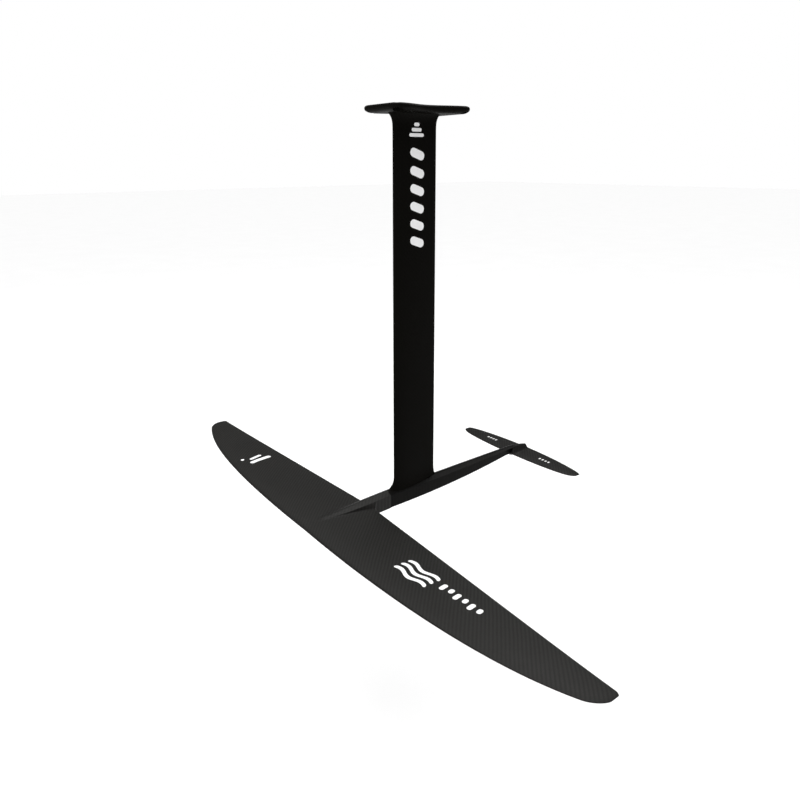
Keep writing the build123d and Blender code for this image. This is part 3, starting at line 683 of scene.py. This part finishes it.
def plate_ring(inset, z):
    """The plate's outline, drawn in by inset: round corners and waisted long sides.
    The plate's centre lies MAST_AHEAD behind the mast's centre line."""
    straight, corner = PLATE_HALF_LENGTH - PLATE_CORNER, PLATE_CORNER - inset
    quarter = []
    for i in range(25):  # from the middle of the long side to the corner
        x = straight * i / 25
        waist = PLATE_WAIST * cos(pi / 2 * x / straight) ** 2
        quarter.append((x, PLATE_HALF_WIDTH - inset - waist))
    for i in range(13):
        angle = pi / 2 - pi / 2 * i / 12
        quarter.append((straight + corner * cos(angle), PLATE_HALF_WIDTH - PLATE_CORNER + corner * sin(angle)))
    half = quarter + [(x, -y) for x, y in reversed(quarter)]
    whole = half + [(-x, y) for x, y in reversed(half[1:-1])]
    return [(x - MAST_AHEAD, y, z) for x, y in whole]


ROUNDING_STEPS = 9


def rounding(inset, height, edge_z, sign):
    """(inset, z) pairs along a quarter of an ellipse, from the flat face to the plate's side."""
    turns = [pi / 2 * i / ROUNDING_STEPS for i in range(ROUNDING_STEPS + 1)]
    return [(inset * (1 - sin(a)), edge_z + sign * height * (1 - cos(a))) for a in turns]


lower_edge = rounding(PLATE_LOWER_INSET, PLATE_LOWER_ROUND, -PLATE_THICKNESS, 1)
upper_edge = rounding(PLATE_UPPER_INSET, PLATE_UPPER_ROUND, 0.0, -1)
profile = lower_edge + upper_edge[::-1]
plate = stack("plate", [plate_ring(inset, z) for inset, z in profile])

# %% Join the mast's shapes and cut the slots
SLOT_X, SLOT_Y = 0.0825, 0.045  # half the distances between the board bolts
tenon = slot_prism("tenon", 0.0, 0.0, 0.100, 0.014, -0.834, -0.8106)
neck = slot_prism("neck", 0.014, 0.0, 0.060, 0.007, -0.812, -0.795)
mast = combine(mast, [plate, neck, tenon], "UNION")
cutters = []
for i, (x, y) in enumerate([(sx * SLOT_X, sy * SLOT_Y) for sx in (1, -1) for sy in (1, -1)]):
    cutters.append(slot_prism(f"slot_{i}", x - MAST_AHEAD, y, 0.014, 0.0085, -0.02, 0.01))
    cutters.append(slot_prism(f"washer_{i}", x - MAST_AHEAD, y, 0.0215, 0.016, -0.02, -0.009))
mast = combine(mast, cutters, "DIFFERENCE")
face_outwards(mast)
mast.data.materials.clear()
mast.data.materials.append(MAST_SHADED_CARBON)
mast = smooth_by_angle(mast, 28)

# %% [markdown]
# ## Painted marks
# The real one carries painted graphics. Here they are plain bars, dots and waves that mean nothing. Paint
# has a thickness, even if small, so each mark is a thin closed plate that follows the surface under it:
# points of a flat grid are sent onto the surface, once just above the skin and once just inside it.

# %% Shape of one mark
def ribbon(start, end, width, wave=0.0, waves=0.0):
    """A round-ended band from start to end, as a grid of (along, across) points that may wave."""
    (x0, y0), (x1, y1) = start, end
    length = sqrt((x1 - x0) ** 2 + (y1 - y0) ** 2)
    ux, uy = (x1 - x0) / length, (y1 - y0) / length
    steps, lanes, radius = 40, 4, width / 2
    rows = []
    for i in range(steps + 1):
        along = length * (1 - cos(pi * i / steps)) / 2
        gap = min(along, length - along)
        half = radius if gap >= radius else sqrt(max(radius**2 - (radius - gap) ** 2, 0.0))
        shift = wave * sin(2 * pi * waves * along / length)
        rows.append([
            (x0 + ux * along - uy * (shift + half * k), y0 + uy * along + ux * (shift + half * k))
            for k in [2 * j / lanes - 1 for j in range(lanes + 1)]
        ])
    return rows


PAINT_ABOVE, PAINT_BELOW = 0.12 * MM, 0.15 * MM


def lay_marks(name, target, ribbons, lift, aim):
    """Sends ribbons onto a piece. lift makes a ray's start from a flat point, and aim is its direction."""
    shape = bmesh.new()
    shape.from_mesh(target.data)
    tree = BVHTree.FromBMesh(shape)
    shape.free()
    points, faces = [], []
    for rows in ribbons:
        first, lanes, count = len(points), len(rows[0]), len(rows) * len(rows[0])
        under = []
        for row in rows:
            for flat in row:
                hit, normal, _, _ = tree.ray_cast(Vector(lift(*flat)), Vector(aim))
                points.append(tuple(hit + normal * PAINT_ABOVE))
                under.append(tuple(hit - normal * PAINT_BELOW))
        points += under

        def at(r, c, layer):
            return first + layer * count + r * lanes + c

        last_row, last_lane = len(rows) - 1, lanes - 1
        for r in range(last_row):
            for c in range(last_lane):
                faces.append((at(r, c, 0), at(r + 1, c, 0), at(r + 1, c + 1, 0), at(r, c + 1, 0)))
                faces.append((at(r, c, 1), at(r, c + 1, 1), at(r + 1, c + 1, 1), at(r + 1, c, 1)))
            for c in (0, last_lane):
                faces.append((at(r, c, 0), at(r + 1, c, 0), at(r + 1, c, 1), at(r, c, 1)))
        for r in (0, last_row):
            for c in range(last_lane):
                faces.append((at(r, c, 0), at(r, c + 1, 0), at(r, c + 1, 1), at(r, c, 1)))
    mesh = bpy.data.meshes.new(name)
    mesh.from_pydata(points, [], faces)
    mesh.materials.append(PAINT)
    piece = link(name, mesh)
    face_outwards(piece)
    piece.data.shade_smooth()
    piece.data.set_sharp_from_angle(angle=radians(40))
    return piece


# %% Marks on the mast
def mast_ribbons():
    """Three bars that grow wider downwards, and a column of six slanted bars."""
    bars = ((0.014, -0.034), (0.026, -0.0435), (0.038, -0.053))
    bands = [ribbon((-0.5 * length, z), (0.5 * length, z), 0.0065) for length, z in bars]
    for i in range(6):
        z = -0.090 - 0.034 * i
        bands.append(ribbon((-0.020, z - 0.004), (0.016, z + 0.008), 0.017))
    return bands


BESIDE_MAST = 0.2
mast_marks = [
    lay_marks(
        f"mast_marks_{word}", mast, mast_ribbons(),
        lambda x, z, side=side: (x, side * BESIDE_MAST, z), (0, -side, 0),
    )
    for side, word in ((1, "port"), (-1, "starboard"))
]

# %% Marks on the wings
def small_mark():
    """Two slanted bars and a dot near the starboard tip."""
    return [
        ribbon((0.248, -0.351), (0.186, -0.366), 0.012),
        ribbon((0.240, -0.371), (0.204, -0.384), 0.009),
        ribbon((0.256, -0.377), (0.256, -0.386), 0.0088),
    ]


def large_mark():
    """Three waves and a row of short bars on the port half of the front wing."""
    bands = [ribbon((x, 0.236), (x - 0.003, 0.322), 0.0085, 0.004, 1.5) for x in (0.236, 0.219, 0.202)]
    for i in range(6):
        y = 0.340 + 0.018 * i
        bands.append(ribbon((0.196, y), (0.216 - 0.006 * (i % 2), y + 0.003), 0.0095))
    return bands


front_marks = lay_marks(
    "front_wing_marks", front_wing, large_mark() + small_mark(), lambda x, y: (x, y, 0.0), (0, 0, -1)
)
BAND_SPACING = 0.0095
stab_bands = [
    ribbon((-0.356, side * (0.078 + BAND_SPACING * i)), (-0.348, side * (0.0785 + BAND_SPACING * i)), 0.0042)
    for side in (1, -1) for i in range(4)
]
stab_marks = lay_marks("stabilizer_marks", stabilizer, stab_bands, lambda x, y: (x, y, 0.0), (0, 0, -1))

# %% [markdown]
# ## Put the new pieces on the body and hide the CAD skins they replace
# Nothing moves on this object, so every piece rides on the one body. The smooth shells stand in for the
# CAD skins they repeat. The cores, spars, screws and inserts stay as they are.

# %% Move the new pieces from the mast's centre line to their place
marks = [*mast_marks, front_marks, stab_marks]
for piece in (front_wing, stabilizer, mast, *marks):
    piece.data.transform(Matrix.Translation((MAST_AHEAD, 0.0, 0.0)))
print("moved", round(MAST_AHEAD * 1000, 2), "mm ahead")

# %% Ride and replace
STANDS_FOR = {
    front_wing: ("woven_carbon", "front_wing_upper_skin", "front_wing_lower_skin", "front_wing_hub"),
    stabilizer: ("woven_carbon", "stabilizer_upper_skin", "stabilizer_lower_skin"),
    mast: ("satin_carbon", "mast_shell"),
}
for piece, (finish, *nodes) in STANDS_FOR.items():
    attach(piece, "root")
    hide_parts(*nodes)
for piece in marks:
    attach(piece, "root")
print("pieces:", [p.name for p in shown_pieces() if "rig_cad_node" not in p])

# %% [markdown]
# ## Floor, light and camera
# The foil hangs as in use, so a pale floor lies well below it and takes only a faint shadow. A wide soft
# light overhead brightens the wings' tops, and the upright mast stays dark because little of it arrives
# there. A small front light follows the mast's nose edge. The world is bright behind the object and dim for
# reflections, which keeps black carbon black.

# %% Floor
CLEARANCE, FLOOR_HALF = 0.4, 30
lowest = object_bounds()[0].z - CLEARANCE
floor_mesh = bpy.data.meshes.new("floor")
corners = [(x * FLOOR_HALF, y * FLOOR_HALF, lowest) for x, y in ((-1, -1), (1, -1), (1, 1), (-1, 1))]
floor_mesh.from_pydata(corners, [], [(0, 1, 2, 3)])
floor = link("floor", floor_mesh)
floor_finish, tree, shader, place, axes = start_material("floor_paper")
dress(tree, shader, mix_colours(tree, cloudiness(tree, place, 3.0), (0.86, 0.86, 0.86), (0.9, 0.9, 0.9)), 0.9)
shader.inputs["Specular IOR Level"].default_value = 0.1
floor_mesh.materials.append(floor_finish)

# %% World and lights
world = bpy.data.worlds.new("studio")
bpy.context.scene.world = world
world.use_nodes = True
sky = world.node_tree
back = sky.nodes["Background"]
back.inputs["Color"].default_value = (1.0, 1.0, 1.0, 1.0)
seen = Field(sky, add_node(sky, "ShaderNodeLightPath").outputs["Is Camera Ray"])
BEHIND, AROUND = 1.0, 0.11  # the world's strength as seen directly, and for all other light
plug(sky, back.inputs["Strength"], seen * (BEHIND - AROUND) + AROUND)


def soft_light(name, place, target, size, power):
    """A square area light that faces a point."""
    data = bpy.data.lights.new(name, "AREA")
    data.size, data.energy = size, power
    lamp = bpy.data.objects.new(name, data)
    bpy.context.scene.collection.objects.link(lamp)
    lamp.location = place
    lamp.rotation_euler = (Vector(target) - Vector(place)).to_track_quat("-Z", "Y").to_euler()


soft_light("overhead", (0.6, -0.3, 2.4), (0.0, 0.0, -0.8), 3.0, 44.0)
soft_light("front", (2.4, 0.9, 0.1), (0.0, 0.0, -0.5), 1.0, 20.0)
soft_light("rim", (-1.8, -0.7, 1.4), (0.0, 0.0, -0.8), 1.2, 14.0)
day = bpy.data.lights.new("day", "SUN")
day.energy, day.angle = 3.2, radians(100)
day_lamp = bpy.data.objects.new("day", day)
bpy.context.scene.collection.objects.link(day_lamp)
print("floor at", round(lowest, 4))

# %% Camera
AZIMUTH, DISTANCE, HEIGHT = radians(51.2), 1.4057, -0.1028
PITCH, YAW, ROLL = radians(19.68), radians(1.29), radians(-0.3)
heading = AZIMUTH + pi + YAW
ahead = Vector((cos(heading) * cos(PITCH), sin(heading) * cos(PITCH), -sin(PITCH)))
right = ahead.cross(Vector((0, 0, 1))).normalized()
up = right.cross(ahead)
right, up = cos(ROLL) * right + sin(ROLL) * up, cos(ROLL) * up - sin(ROLL) * right
camera = bpy.data.objects.new("camera", bpy.data.cameras.new("camera"))
bpy.context.scene.collection.objects.link(camera)
camera.data.lens, camera.data.sensor_width = 29.93, 36.0
camera.data.clip_start = 0.01
stand = Matrix.Translation((MAST_AHEAD + DISTANCE * cos(AZIMUTH), DISTANCE * sin(AZIMUTH), HEIGHT))
camera.matrix_world = stand @ Matrix((right, up, -ahead)).transposed().to_4x4()
bpy.context.scene.camera = camera
bpy.context.scene.view_settings.view_transform = "Standard"
print("camera at", [round(v, 4) for v in camera.location])
